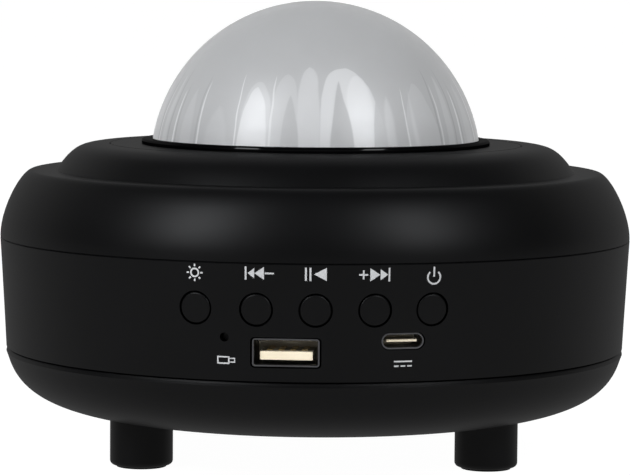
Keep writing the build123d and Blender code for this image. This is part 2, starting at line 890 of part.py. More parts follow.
# Rippled wheel: hub, web with ring waves on top, and a toothed rim
web_edge_radius = wheel_root_radius - rim_land
ripple_step = (web_edge_radius - hub_radius) / ripple_count
with BuildPart() as wave_wheel:
    with BuildSketch(Plane.XY.offset(gear_z)):
        with BuildLine():
            gear_outline(wheel_teeth, 0)
        make_face()
        Circle(web_edge_radius, mode=Mode.SUBTRACT)
    extrude(amount=gear_width)
    with BuildSketch(Plane.XZ):
        with BuildLine():
            Polyline(
                (hub_radius, web_z + web_thickness),
                (hub_radius, web_z),
                (web_edge_radius, web_z),
                (web_edge_radius, web_z + web_thickness),
            )
            for wave in range(ripple_count):
                inner = hub_radius + wave * ripple_step
                ThreePointArc(
                    (inner, web_z + web_thickness),
                    (inner + ripple_step / 2, web_z + web_thickness - ripple_rise),
                    (inner + ripple_step, web_z + web_thickness),
                )
        make_face()
    revolve(axis=Axis.Z)
    upright_pins(hub_radius, [(0, 0)], hub_z, hub_height)
    upright_pins(spindle_radius + slip, [(0, 0)], hub_z, hub_height, Mode.SUBTRACT)
save(wave_wheel, "wave_wheel")

# Pinion on the motor's shaft, turned so that a gap faces the wheel's tooth
pinion_spin = motor_angle + 180 + 180 / pinion_teeth
with BuildPart() as drive_pinion:
    with BuildSketch(Plane(origin=(*motor_spot, pinion_z))):
        with BuildLine():
            gear_outline(pinion_teeth, pinion_spin)
        make_face()
        Circle(shaft_radius + press_gap, mode=Mode.SUBTRACT)
    extrude(amount=pinion_height)
save(drive_pinion, "drive_pinion")

shaft_foot_z = deck_z - shaft_seat
shaft_top_z = pinion_z + pinion_height + shaft_tail
with BuildPart() as motor_shaft:
    upright_pins(shaft_radius, [motor_spot], shaft_foot_z, shaft_top_z - shaft_foot_z)
save(motor_shaft, "motor_shaft")

# Gearbox and motor hang under the deck, held by a strap with two ears
gearbox_plane = Plane(origin=(*motor_spot, gearbox_z)).rotated((0, 0, motor_turn))
can_plane = Plane(origin=(*motor_spot, can_z)).rotated((0, 0, motor_turn))
with BuildPart() as motor_gearbox:
    with BuildSketch(gearbox_plane):
        Rectangle(motor_width, motor_depth)
    extrude(amount=gearbox_height)
    upright_pins(shaft_radius + slip, [motor_spot], shaft_foot_z - loose, shaft_seat + loose, Mode.SUBTRACT)
save(motor_gearbox, "motor_gearbox")

with BuildPart() as motor_can:
    with BuildSketch(can_plane):
        RectangleRounded(motor_width, motor_depth, can_round)
    extrude(amount=can_height)
save(motor_can, "motor_can")

strap_width = motor_width + 2 * loose
strap_depth = motor_depth + 2 * loose
strap_plane = gearbox_plane.offset(gearbox_height - strap_height)
ear_plane = gearbox_plane.offset(gearbox_height - strap_ear_thickness)
with BuildPart() as motor_bracket:
    with BuildSketch(strap_plane):
        Rectangle(strap_width + 2 * strap_thickness, strap_depth + 2 * strap_thickness)
        Rectangle(strap_width, strap_depth, mode=Mode.SUBTRACT)
    extrude(amount=strap_height)
    with BuildSketch(ear_plane):
        with Locations((-strap_hole_side, 0), (strap_hole_side, 0)):
            Rectangle(strap_ear, motor_depth)
            Circle(motor_screw_radius + loose, mode=Mode.SUBTRACT)
        Rectangle(strap_width, strap_depth, mode=Mode.SUBTRACT)
    extrude(amount=strap_ear_thickness)
save(motor_bracket, "motor_bracket")

motor_screws = screws(
    motor_screw_spots,
    deck_z - strap_ear_thickness,
    motor_head_radius,
    motor_head_height,
    motor_screw_radius,
    motor_screw_length,
    True,
)
save(motor_screws, "motor_screws")

# Five buttons: caps flush with the band, and the switch plungers behind them
flange_wall_radius = band_radius(button_z - button_flange_radius) - casing_wall
button_flange_out = math.sqrt(flange_wall_radius**2 - button_flange_radius**2) - loose
button_stem_out = button_flange_out - button_flange_height
plunger_tip = button_stem_out - button_stem_length
tact_front = plunger_tip - plunger_reach
tact_back = tact_front - tact_depth
for name, angle in zip(button_names, button_angles):
    with BuildPart() as button:
        facing_pin(button_radius, angle, button_z, button_stem_out, panel_cut_end)
        with BuildSketch(Plane.XZ):
            with BuildLine():
                Polyline(
                    (0, lower_seam_z),
                    (band_foot_radius, lower_seam_z),
                    (body_radius, upper_seam_z),
                    (0, upper_seam_z),
                    close=True,
                )
            make_face()
        revolve(axis=Axis.Z, mode=Mode.INTERSECT)
        face_axis = Axis((0, 0, button_z), facing(angle, button_z).z_dir)
        fillet(button.faces().sort_by(face_axis)[-1].edges(), radius=button_edge_round)
        facing_pin(button_flange_radius, angle, button_z, button_stem_out, button_flange_out)
        facing_pin(button_stem_radius, angle, button_z, plunger_tip, button_stem_out)
    save(button, f"{name}_button")
    with BuildPart() as plunger:
        facing_pin(plunger_radius, angle, button_z, tact_front - plunger_hidden, plunger_tip)
    save(plunger, f"{name}_plunger")

pocket_floor = tact_front - plunger_hidden - button_travel - pocket_spare
tact_middle_z = (board_top_z + button_z + tact_crown) / 2
with BuildPart() as tact_switches:
    for angle in button_angles:
        with BuildSketch(facing(angle, tact_middle_z).offset(tact_back)):
            Rectangle(tact_width, button_z + tact_crown - board_top_z)
        extrude(amount=tact_depth)
        facing_pin(plunger_radius + loose, angle, button_z, pocket_floor, tact_front, Mode.SUBTRACT)
save(tact_switches, "tact_switches")

with BuildPart() as microphone:
    facing_pin(mic_radius, mic_angle, mic_z, mic_back, mic_front)
save(microphone, "microphone")

# Memory-stick socket, upside down under the board
tongue_plane = facing(usb_a_angle, usb_a_z - tongue_drop)
with BuildPart() as usb_a_shell:
    with BuildSketch(usb_a_plane.offset(usb_a_tail)):
        RectangleRounded(usb_a_width, usb_a_height, usb_a_round)
        RectangleRounded(
            usb_a_width - 2 * usb_a_sheet,
            usb_a_height - 2 * usb_a_sheet,
            usb_a_round - usb_a_sheet,
            mode=Mode.SUBTRACT,
        )
    extrude(amount=usb_a_depth)
save(usb_a_shell, "usb_a_shell")

with BuildPart() as usb_a_tongue:
    with BuildSketch(usb_a_plane.offset(usb_a_tail)):
        RectangleRounded(
            usb_a_width - 2 * usb_a_sheet - 2 * slip,
            usb_a_height - 2 * usb_a_sheet - 2 * slip,
            usb_a_round - usb_a_sheet,
        )
    extrude(amount=usb_a_back)
    with BuildSketch(tongue_plane.offset(usb_a_tail + usb_a_back)):
        Rectangle(tongue_width, tongue_thickness)
    extrude(amount=usb_a_depth - usb_a_back - tongue_recess)
save(usb_a_tongue, "usb_a_tongue")

contact_plane = facing(usb_a_angle, usb_a_z - tongue_drop + tongue_thickness / 2 + contact_thickness / 2)
with BuildPart() as usb_a_contacts:
    with BuildSketch(contact_plane.offset(usb_a_tail + usb_a_back)):
        with GridLocations(contact_pitch, 0, contact_count, 1):
            Rectangle(contact_width, contact_thickness)
    extrude(amount=contact_length)
save(usb_a_contacts, "usb_a_contacts")

# Power inlet, sunk in a notch of the board
usb_c_mouth = band_radius(usb_c_z) - socket_sink
usb_c_tail = usb_c_mouth - usb_c_depth
with BuildPart() as usb_c_shell:
    with BuildSketch(usb_c_plane.offset(usb_c_tail)):
        SlotOverall(usb_c_width, usb_c_height)
        SlotOverall(usb_c_width - 2 * usb_c_sheet, usb_c_height - 2 * usb_c_sheet, mode=Mode.SUBTRACT)
    extrude(amount=usb_c_depth)
save(usb_c_shell, "usb_c_shell")

with BuildPart() as usb_c_tongue:
    with BuildSketch(usb_c_plane.offset(usb_c_tail)):
        SlotOverall(usb_c_width - 2 * usb_c_sheet - 2 * slip, usb_c_height - 2 * usb_c_sheet - 2 * slip)
    extrude(amount=usb_c_back)
    with BuildSketch(usb_c_plane.offset(usb_c_tail + usb_c_back)):
        Rectangle(inlet_tongue_width, inlet_tongue_thickness)
    extrude(amount=usb_c_depth - usb_c_back - inlet_tongue_recess)
save(usb_c_tongue, "usb_c_tongue")

# Main board with its notch for the inlet, its parts and the sockets of the leads
notch_width = usb_c_width + 2 * board_notch_gap
notch_middle = polar((usb_c_tail - board_notch_gap + body_radius) / 2, usb_c_angle - 90)
notch_length = body_radius - usb_c_tail + board_notch_gap
with BuildPart() as main_board:
    with BuildSketch(Plane.XY.offset(board_z)):
        Circle(board_radius)
        with Locations((0, -board_back)):
            Rectangle(
                2 * board_radius, 2 * board_radius, align=(Align.CENTER, Align.MIN), mode=Mode.SUBTRACT
            )
        with Locations(Location((*notch_middle, 0), (0, 0, usb_c_angle))):
            Rectangle(notch_width, notch_length, mode=Mode.SUBTRACT)
        with Locations(*board_screw_spots):
            Circle(board_screw_radius + loose, mode=Mode.SUBTRACT)
    extrude(amount=board_thickness)
save(main_board, "main_board")

chip_spots = [
    (board_post_side - chip_inset, -capacitor_front),
    (-chip_side, -chip_front),
    (chip_side, -chip_front),
]
with BuildPart() as board_chips:
    for spot, (width, depth, height) in zip(chip_spots, chip_sizes):
        with BuildSketch(Plane.XY.offset(board_top_z)):
            with Locations(spot):
                Rectangle(width, depth)
        extrude(amount=height)
save(board_chips, "board_chips")

with BuildPart() as board_capacitors:
    upright_pins(
        capacitor_radius,
        [(-capacitor_side, -capacitor_front), (-capacitor_side + capacitor_pitch, -capacitor_front)],
        board_top_z,
        capacitor_height,
    )
save(board_capacitors, "board_capacitors")

board_screws = screws(
    board_screw_spots,
    board_top_z,
    board_head_radius,
    board_head_height,
    board_screw_radius,
    board_thickness + board_screw_length - loose,
    False,
)
save(board_screws, "board_screws")

lead_socket_sides = [speaker_lead_side, led_lead_side, motor_lead_side]
with BuildPart() as lead_sockets:
    with BuildSketch(Plane.XY.offset(board_top_z)):
        with Locations(*[(side, -lead_socket_back - lead_socket_depth / 2) for side in lead_socket_sides]):
            Rectangle(lead_socket_width, lead_socket_depth)
    extrude(amount=lead_socket_height)
save(lead_sockets, "lead_sockets")

# Speaker, face down on its gasket over the sound holes
with BuildPart() as speaker_gasket:
    with BuildSketch(Plane.XY.offset(inside_floor_z)):
        Circle(speaker_flange_radius)
        Circle(basket_inner_radius, mode=Mode.SUBTRACT)
        with Locations(*speaker_screw_spots):
            Circle(speaker_screw_radius + loose, mode=Mode.SUBTRACT)
    extrude(amount=speaker_gasket_thickness)
save(speaker_gasket, "speaker_gasket")

coil_hole_radius = coil_gap_outer + coil_hole_gap
basket_slope_z = speaker_z + basket_rim_height - speaker_sheet / 2
basket_inner_back_radius = basket_back_radius - speaker_sheet / 2
basket_inner_back_z = basket_back_z - speaker_sheet
with BuildPart() as speaker_frame:
    with BuildSketch(Plane.XZ):
        with BuildLine():
            Polyline(
                (speaker_flange_radius, speaker_z),
                (speaker_flange_radius, speaker_z + speaker_sheet),
                (basket_rim_radius, speaker_z + speaker_sheet),
                (basket_rim_radius, speaker_z + basket_rim_height),
                (basket_back_radius, basket_back_z),
                (coil_hole_radius, basket_back_z),
                (coil_hole_radius, basket_inner_back_z),
                (basket_inner_back_radius, basket_inner_back_z),
                (basket_inner_radius, basket_slope_z),
                (basket_inner_radius, speaker_z),
                close=True,
            )
        make_face()
    revolve(axis=Axis.Z)
    with BuildSketch(Plane.XY.offset(speaker_z + basket_rim_height)):
        with PolarLocations(basket_window_circle, basket_window_count):
            Circle(basket_window_radius)
    extrude(amount=basket_height, mode=Mode.SUBTRACT)
    upright_pins(speaker_screw_radius + loose, speaker_screw_spots, speaker_z, speaker_sheet, Mode.SUBTRACT)
save(speaker_frame, "speaker_frame")

with BuildPart() as speaker_magnet:
    upright_pins(magnet_radius, [(0, 0)], basket_back_z, magnet_height)
    with BuildSketch(Plane.XY.offset(basket_back_z)):
        Circle(coil_gap_outer)
        Circle(coil_gap_inner, mode=Mode.SUBTRACT)
    extrude(amount=coil_gap_depth, mode=Mode.SUBTRACT)
save(speaker_magnet, "speaker_magnet")


def bulge_arc(edge_radius, edge_z, bulge):
    """Arc of a shallow cap from its edge down to its lowest point on the axis."""
    ball_radius = (edge_radius**2 + bulge**2) / (2 * bulge)
    middle_radius = edge_radius / 2
    middle_z = edge_z - bulge + ball_radius - math.sqrt(ball_radius**2 - middle_radius**2)
    ThreePointArc((edge_radius, edge_z), (middle_radius, middle_z), (0, edge_z - bulge))


# Moving cone with its dust cap and coil former, and what it hangs on
cone_top_z = cone_z + cone_depth
former_top_z = basket_back_z + former_dip
with BuildPart() as speaker_cone:
    with BuildSketch(Plane.XZ):
        with BuildLine():
            Line((cone_edge_radius, cone_z), (former_outer, cone_top_z))
            bulge_arc(former_outer, cone_top_z, dust_cap_bulge)
            Line((0, cone_top_z - dust_cap_bulge), (0, cone_top_z - dust_cap_bulge + cone_paper))
            bulge_arc(former_inner, cone_top_z + cone_paper, dust_cap_bulge)
            Polyline(
                (former_inner, cone_top_z + cone_paper),
                (former_inner, former_top_z),
                (former_outer, former_top_z),
                (former_outer, cone_top_z + cone_paper),
                (cone_edge_radius, cone_z + cone_paper),
                (cone_edge_radius, cone_z),
            )
        make_face()
    revolve(axis=Axis.Z)
save(speaker_cone, "speaker_cone")

roll_inner = cone_edge_radius + slip
roll_outer = basket_inner_radius - slip
roll_middle = (roll_inner + roll_outer) / 2
with BuildPart() as speaker_surround:
    with BuildSketch(Plane.XZ):
        with BuildLine():
            ThreePointArc((roll_inner, cone_z), (roll_middle, cone_z + roll_rise), (roll_outer, cone_z))
            Line((roll_outer, cone_z), (roll_outer, cone_z + cone_paper))
            ThreePointArc(
                (roll_outer, cone_z + cone_paper),
                (roll_middle, cone_z + roll_rise + cone_paper),
                (roll_inner, cone_z + cone_paper),
            )
            Line((roll_inner, cone_z + cone_paper), (roll_inner, cone_z))
        make_face()
    revolve(axis=Axis.Z)
save(speaker_surround, "speaker_surround")

spider_z = speaker_z + spider_lift
spider_rise = (spider_z + spider_thickness - basket_slope_z) / (basket_inner_back_z - basket_slope_z)
spider_radius = basket_inner_radius - (basket_inner_radius - basket_inner_back_radius) * spider_rise - loose
spider_inner_z = spider_z - spider_dip
with BuildPart() as speaker_spider:
    with BuildSketch(Plane.XZ):
        with BuildLine():
            Polyline(
                (former_outer + slip, spider_inner_z),
                (spider_radius, spider_z),
                (spider_radius, spider_z + spider_thickness),
                (former_outer + slip, spider_inner_z + spider_thickness),
                close=True,
            )
        make_face()
    revolve(axis=Axis.Z)
save(speaker_spider, "speaker_spider")

speaker_screws = screws(
    speaker_screw_spots,
    speaker_z + speaker_sheet,
    speaker_head_radius,
    speaker_head_height,
    speaker_screw_radius,
    speaker_sheet + speaker_gasket_thickness + speaker_screw_bite - loose,
    False,
)
save(speaker_screws, "speaker_screws")


def lead(points, bends):
    """Round lead along straight runs joined by arcs."""
    with BuildPart() as cable:
        with BuildLine() as route:
            FilletPolyline(*points, radius=bends)
        with BuildSketch(Plane(origin=route.wire() @ 0, z_dir=route.wire() % 0)):
            Circle(lead_radius)
        sweep()
    return cable


# Leads from the main board to the speaker, the light board and the motor
lead_z = board_top_z + lead_socket_height / 2
led_plug_z = led_top_z + led_plug_height / 2
motor_dip_z = can_z - motor_lead_dip
speaker_lead = lead(
    [
        (speaker_lead_side, -lead_socket_back, lead_z),
        (speaker_lead_side, -speaker_lead_drop, lead_z),
        (speaker_lead_side, -speaker_lead_drop, speaker_z + speaker_sheet),
    ],
    lead_bend,
)
save(speaker_lead, "speaker_lead")

led_lead = lead(
    [
        (led_lead_side, -lead_socket_back, lead_z),
        (*led_lead_spot, lead_z),
        (*led_lead_spot, led_plug_z),
        (led_lead_side, -led_plug_reach - led_plug_depth / 2, led_plug_z),
    ],
    led_lead_bend,
)
save(led_lead, "led_lead")

motor_lead = lead(
    [
        (motor_lead_side, -lead_socket_back, lead_z),
        (motor_lead_side, -motor_lead_turn, lead_z),
        motor_lead_knee,
        (motor_spot[0], motor_lead_back, motor_dip_z),
        (*motor_spot, motor_dip_z),
        (*motor_spot, can_z),
    ],
    motor_lead_bends,
)
save(motor_lead, "motor_lead")
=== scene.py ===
import json
import math

import bmesh
import bpy
from mathutils import Matrix, Vector


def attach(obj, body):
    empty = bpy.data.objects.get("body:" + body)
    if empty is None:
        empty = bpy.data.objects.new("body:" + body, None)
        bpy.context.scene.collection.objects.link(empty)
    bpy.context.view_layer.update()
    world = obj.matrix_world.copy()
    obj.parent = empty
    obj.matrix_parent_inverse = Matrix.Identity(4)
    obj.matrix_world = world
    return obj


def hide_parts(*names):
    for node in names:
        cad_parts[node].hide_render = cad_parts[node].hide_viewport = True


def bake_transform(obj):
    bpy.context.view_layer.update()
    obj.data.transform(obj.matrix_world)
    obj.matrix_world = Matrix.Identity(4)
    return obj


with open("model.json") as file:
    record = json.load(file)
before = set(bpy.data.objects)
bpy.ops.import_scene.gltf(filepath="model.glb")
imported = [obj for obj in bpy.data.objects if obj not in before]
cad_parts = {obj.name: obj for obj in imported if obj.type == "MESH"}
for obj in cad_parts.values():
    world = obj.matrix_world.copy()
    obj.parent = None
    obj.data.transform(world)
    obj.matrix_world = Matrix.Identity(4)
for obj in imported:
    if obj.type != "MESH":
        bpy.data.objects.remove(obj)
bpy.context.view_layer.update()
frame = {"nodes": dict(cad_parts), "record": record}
nodes = frame["nodes"]
scene = bpy.context.scene
scene.view_settings.view_transform = "Standard"

# Scale to metres, and the distance in millimetres at which points of a mesh are merged
MM = 0.001
WELD = 0.001

# Sizes of the control band in millimetres, as in the frame
LOWER_SEAM_Z = 24.6
BAND_HEIGHT = 24.1
BAND_FOOT_RADIUS = 68.65
BAND_HEAD_RADIUS = 69.95


def calc(tree, operation, first, second=0.0, third=0.0):
    """One step of arithmetic on values or on other steps."""
    step = tree.nodes.new("ShaderNodeMath")
    step.operation = operation
    for socket, value in zip(step.inputs, (first, second, third)):
        if isinstance(value, (int, float)):
            socket.default_value = value
        else:
            tree.links.new(value, socket)
    return step.outputs[0]


# Camera that stands where the photograph was taken: distance and height in millimetres, turns in degrees,
# and its focal length and picture in pixels
CAMERA_DISTANCE = 700.0
CAMERA_HEIGHT = 107.0
CAMERA_PITCH = 4.794
CAMERA_ROLL = 0.429
CAMERA_TURN = -0.19
CAMERA_FOCUS_PIXELS = 3144
PHOTO_WIDTH_PIXELS = 630
SENSOR_WIDTH = 36


def place_camera():
    """Sets up the camera at the front, a little above the dome, looking slightly down."""
    lens = bpy.data.cameras.new("camera")
    lens.sensor_width = SENSOR_WIDTH
    lens.lens = CAMERA_FOCUS_PIXELS * SENSOR_WIDTH / PHOTO_WIDTH_PIXELS
    camera = bpy.data.objects.new("camera", lens)
    turn = Matrix.Rotation(math.radians(CAMERA_TURN), 3, "Z")
    tilt = Matrix.Rotation(math.radians(90 - CAMERA_PITCH), 3, "X")
    roll = Matrix.Rotation(math.radians(CAMERA_ROLL), 3, "Z")
    camera.location = turn @ Vector((0, -CAMERA_DISTANCE * MM, CAMERA_HEIGHT * MM))
    camera.rotation_euler = (turn @ tilt @ roll).to_euler()
    scene.collection.objects.link(camera)
    scene.camera = camera


place_camera()


# Light: two tall soft boxes at the front corners, a wide weak one over the back, and a dim grey room
# Each soft box has its angle from the front, its rise, its distance and size in metres, and its power
LIGHT_TARGET = Vector((0, 0, 0.05))
SOFT_BOXES = [
    ("soft_box_left", -47, 34, 0.9, (0.24, 0.46), 7.4),
    ("soft_box_right", 39, 34, 0.9, (0.21, 0.44), 5.4),
    ("soft_box_rear", 180, 60, 1.3, (1.3, 1.0), 3.0),
]
LAMP_TINT = (0.95, 0.97, 1.0)
ROOM_LEVEL = 0.16
# Directions between which the backdrop comes in from the sides and fades out upwards
BACKDROP_SIDES = (0.1, 0.5)
BACKDROP_RISE = (0.8, 0.4)


def place_lights():
    """Hangs each soft box at an angle from the front, a rise and a distance, facing the body."""
    for name, angle, rise, distance, size, power in SOFT_BOXES:
        lamp = bpy.data.lights.new(name, "AREA")
        lamp.shape = "RECTANGLE"
        lamp.size, lamp.size_y = size
        lamp.energy = power
        lamp.color = LAMP_TINT
        turn = math.radians(angle)
        lift = math.radians(rise)
        aim = Vector((math.cos(lift) * math.sin(turn), -math.cos(lift) * math.cos(turn), math.sin(lift)))
        holder = bpy.data.objects.new(name, lamp)
        holder.location = LIGHT_TARGET + aim * distance
        holder.rotation_euler = aim.to_track_quat("Z", "Y").to_euler()
        scene.collection.objects.link(holder)


def seen_directly(tree):
    """Value that is 1 for what the camera, a reflection or clear plastic shows, else 0."""
    path = tree.nodes.new("ShaderNodeLightPath").outputs
    shown = calc(tree, "MAXIMUM", path["Is Camera Ray"], path["Is Glossy Ray"])
    return calc(tree, "MAXIMUM", shown, path["Is Transmission Ray"])


def paint_room():
    """Dim grey room with a white backdrop low down behind the object, which only shows and gives no light."""
    world = bpy.data.worlds.new("grey_room")
    scene.world = world
    world.use_nodes = True
    tree = world.node_tree
    split = tree.nodes.new("ShaderNodeSeparateXYZ")
    tree.links.new(tree.nodes.new("ShaderNodeTexCoord").outputs["Generated"], split.inputs[0])
    white = seen_directly(tree)
    for axis, (start, stop) in (("Y", BACKDROP_SIDES), ("Z", BACKDROP_RISE)):
        ramp = tree.nodes.new("ShaderNodeMapRange")
        ramp.interpolation_type = "SMOOTHSTEP"
        ramp.inputs["From Min"].default_value = min(start, stop)
        ramp.inputs["From Max"].default_value = max(start, stop)
        ramp.inputs["To Min"].default_value = float(start > stop)
        ramp.inputs["To Max"].default_value = float(start < stop)
        tree.links.new(split.outputs[axis], ramp.inputs["Value"])
        white = calc(tree, "MULTIPLY", white, ramp.outputs["Result"])
    level = calc(tree, "MULTIPLY_ADD", white, 1 - ROOM_LEVEL, ROOM_LEVEL)
    back = tree.nodes["Background"]
    back.inputs["Color"].default_value = (1, 1, 1, 1)
    tree.links.new(level, back.inputs["Strength"])


# Floor: its side in metres, its colour, how much of the shadow shows and how white the rest is
FLOOR_SIDE = 30.0
FLOOR_WHITE = 0.9
FLOOR_SHADOW = 0.12
FLOOR_GLOW = 1.12


def lay_floor():
    """Wide white floor that keeps a faint shadow of the object."""
    shape = bmesh.new()
    bmesh.ops.create_grid(shape, x_segments=1, y_segments=1, size=FLOOR_SIDE / 2)
    mesh = bpy.data.meshes.new("floor")
    shape.to_mesh(mesh)
    shape.free()
    floor = bpy.data.objects.new("floor", mesh)
    scene.collection.objects.link(floor)
    paint = bpy.data.materials.new("white_floor")
    paint.use_nodes = True
    tree = paint.node_tree
    tree.nodes.remove(tree.nodes["Principled BSDF"])
    matt = tree.nodes.new("ShaderNodeBsdfDiffuse")
    matt.inputs["Color"].default_value = (FLOOR_WHITE, FLOOR_WHITE, FLOOR_WHITE, 1)
    glow = tree.nodes.new("ShaderNodeEmission")
    glow.inputs["Strength"].default_value = FLOOR_GLOW
    blend = tree.nodes.new("ShaderNodeMixShader")
    tree.links.new(calc(tree, "MULTIPLY", seen_directly(tree), 1 - FLOOR_SHADOW), blend.inputs["Fac"])
    tree.links.new(matt.outputs[0], blend.inputs[1])
    tree.links.new(glow.outputs[0], blend.inputs[2])
    tree.links.new(blend.outputs[0], tree.nodes["Material Output"].inputs["Surface"])
    mesh.materials.append(paint)


place_lights()
paint_room()
lay_floor()


# Finishes: how often the tone of a moulded piece changes in a metre, the middle of the noise's range,
# how strong the relief of the grain is, and the refractive index of the clear plastic
PATCH_SCALE = 60.0
NOISE_RANGE = (0.3, 0.7)
GRAIN_RELIEF = 0.5
CLEAR_INDEX = 1.49


def make_grain_group():
    """Fine moulded grain and slow unevenness, both from 0 to 1, on the piece's own coordinates."""
    group = bpy.data.node_groups.new("moulded_grain", "ShaderNodeTree")
    for label in ("Grain scale", "Patch scale"):
        group.interface.new_socket(label, in_out="INPUT", socket_type="NodeSocketFloat")
    for label in ("Grain", "Patch"):
        group.interface.new_socket(label, in_out="OUTPUT", socket_type="NodeSocketFloat")
    entry = group.nodes.new("NodeGroupInput")
    leave = group.nodes.new("NodeGroupOutput")
    place = group.nodes.new("ShaderNodeTexCoord")
    for scale, result, detail in (("Grain scale", "Grain", 2.0), ("Patch scale", "Patch", 3.0)):
        noise = group.nodes.new("ShaderNodeTexNoise")
        noise.inputs["Detail"].default_value = detail
        group.links.new(place.outputs["Object"], noise.inputs["Vector"])
        group.links.new(entry.outputs[scale], noise.inputs["Scale"])
        group.links.new(noise.outputs["Fac"], leave.inputs[result])
    return group


grain_group = make_grain_group()


def new_finish(name):
    """Empty finish with its node tree and its shader."""
    finish = bpy.data.materials.new(name)
    finish.use_nodes = True
    tree = finish.node_tree
    return finish, tree, tree.nodes["Principled BSDF"]


def grain_node(tree, grain_scale, patch_scale):
    """Places the moulded grain with its own scales."""
    grain = tree.nodes.new("ShaderNodeGroup")
    grain.node_tree = grain_group
    grain.inputs["Grain scale"].default_value = grain_scale
    grain.inputs["Patch scale"].default_value = patch_scale
    return grain


def spread(tree, source, low, high):
    """Value that runs from low to high as the source runs through the middle of its range."""
    spread_node = tree.nodes.new("ShaderNodeMapRange")
    spread_node.inputs["From Min"].default_value = NOISE_RANGE[0]
    spread_node.inputs["From Max"].default_value = NOISE_RANGE[1]
    spread_node.inputs["To Min"].default_value = low
    spread_node.inputs["To Max"].default_value = high
    tree.links.new(source, spread_node.inputs["Value"])
    return spread_node.outputs["Result"]


def uneven_tone(tree, shader, patch, dark, light):
    """Colour that wanders between a dark and a light tone."""
    tone = tree.nodes.new("ShaderNodeMix")
    tone.data_type = "RGBA"
    tone.inputs["A"].default_value = (*dark, 1)
    tone.inputs["B"].default_value = (*light, 1)
    tree.links.new(spread(tree, patch, 0, 1), tone.inputs["Factor"])
    tree.links.new(tone.outputs["Result"], shader.inputs["Base Color"])


def moulded(name, dark, light, rough, grain_scale, depth, sockets):
    """Finish of one solid colour with uneven tone, roughness and fine grain."""
    finish, tree, shader = new_finish(name)
    grain = grain_node(tree, grain_scale, PATCH_SCALE)
    uneven_tone(tree, shader, grain.outputs["Patch"], dark, light)
    tree.links.new(spread(tree, grain.outputs["Grain"], *rough), shader.inputs["Roughness"])
    relief = tree.nodes.new("ShaderNodeBump")
    relief.inputs["Strength"].default_value = GRAIN_RELIEF
    relief.inputs["Distance"].default_value = depth * MM
    tree.links.new(grain.outputs["Grain"], relief.inputs["Height"])
    tree.links.new(relief.outputs["Normal"], shader.inputs["Normal"])
    for socket, value in sockets.items():
        shader.inputs[socket].default_value = value
    return finish


SATIN = {"Specular IOR Level": 0.0, "Coat Weight": 0.2, "Coat Roughness": 0.42, "Coat IOR": 1.5}
GLOSS = {"Specular IOR Level": 0.0, "Coat Weight": 0.03, "Coat Roughness": 0.08, "Coat IOR": 2.5}
MATT = {"Specular IOR Level": 0.0}
METAL = {"Metallic": 1.0}
PLAIN = {}
# Finish of each slot: dark and light tone, range of roughness, grains in a metre, their depth in millimetres
MOULDED = {
    "black_satin": ((0.0005, 0.0005, 0.0006), (0.0008, 0.0008, 0.001), (0.5, 0.6), 2600, 0.002, SATIN),
    "black_gloss": ((0.0005, 0.0005, 0.0006), (0.0008, 0.0008, 0.001), (0.1, 0.16), 900, 0.001, GLOSS),
    "black_caps": ((0.0006, 0.0006, 0.0007), (0.001, 0.001, 0.0012), (0.5, 0.6), 2600, 0.002, SATIN),
    "black_rubber": ((0.004, 0.004, 0.004), (0.007, 0.007, 0.007), (0.75, 0.9), 1800, 0.02, MATT),
    "white_plastic": ((0.74, 0.74, 0.73), (0.82, 0.82, 0.81), (0.4, 0.55), 1500, 0.01, PLAIN),
    "bare_aluminium": ((0.62, 0.63, 0.64), (0.76, 0.77, 0.78), (0.25, 0.45), 1200, 0.01, METAL),
    "white_board": ((0.78, 0.78, 0.76), (0.86, 0.86, 0.84), (0.2, 0.32), 900, 0.01, PLAIN),
    "emitter": ((0.85, 0.74, 0.38), (0.93, 0.86, 0.55), (0.1, 0.2), 1500, 0.004, PLAIN),
    "green_board": ((0.02, 0.13, 0.05), (0.03, 0.19, 0.08), (0.25, 0.4), 900, 0.01, PLAIN),
    "black_parts": ((0.008, 0.008, 0.009), (0.016, 0.016, 0.017), (0.5, 0.65), 1600, 0.01, PLAIN),
    "steel": ((0.5, 0.5, 0.51), (0.63, 0.63, 0.64), (0.28, 0.45), 1400, 0.01, METAL),
    "socket_shell": ((0.06, 0.06, 0.062), (0.1, 0.1, 0.105), (0.3, 0.42), 1600, 0.006, METAL),
    "cream_plastic": ((0.66, 0.57, 0.41), (0.75, 0.67, 0.51), (0.4, 0.55), 1500, 0.01, PLAIN),
    "gilt_contacts": ((0.7, 0.5, 0.2), (0.83, 0.64, 0.3), (0.2, 0.32), 1500, 0.004, METAL),
    "ferrite": ((0.03, 0.03, 0.032), (0.06, 0.06, 0.064), (0.6, 0.8), 900, 0.03, PLAIN),
    "cone_paper": ((0.02, 0.02, 0.021), (0.04, 0.04, 0.041), (0.8, 0.95), 1200, 0.04, PLAIN),
    "spider_cloth": ((0.4, 0.29, 0.14), (0.55, 0.43, 0.24), (0.8, 0.95), 1500, 0.05, PLAIN),
    "lead_sleeve": ((0.02, 0.02, 0.022), (0.035, 0.035, 0.038), (0.4, 0.55), 1200, 0.01, PLAIN),
    "grey_print": ((0.36, 0.36, 0.36), (0.42, 0.42, 0.42), (0.5, 0.65), 1800, 0.004, PLAIN),
}
finishes = {name: moulded(name, *values) for name, values in MOULDED.items()}

# Clear wheel: its darkest and lightest tone, range of roughness, and scales of its grain and patches
WHEEL_DARK = (0.846, 0.8648, 0.8836)
WHEEL_LIGHT = (0.9, 0.92, 0.94)
WHEEL_ROUGHNESS = (0.03, 0.06)
WHEEL_SCALES = (400, 45)


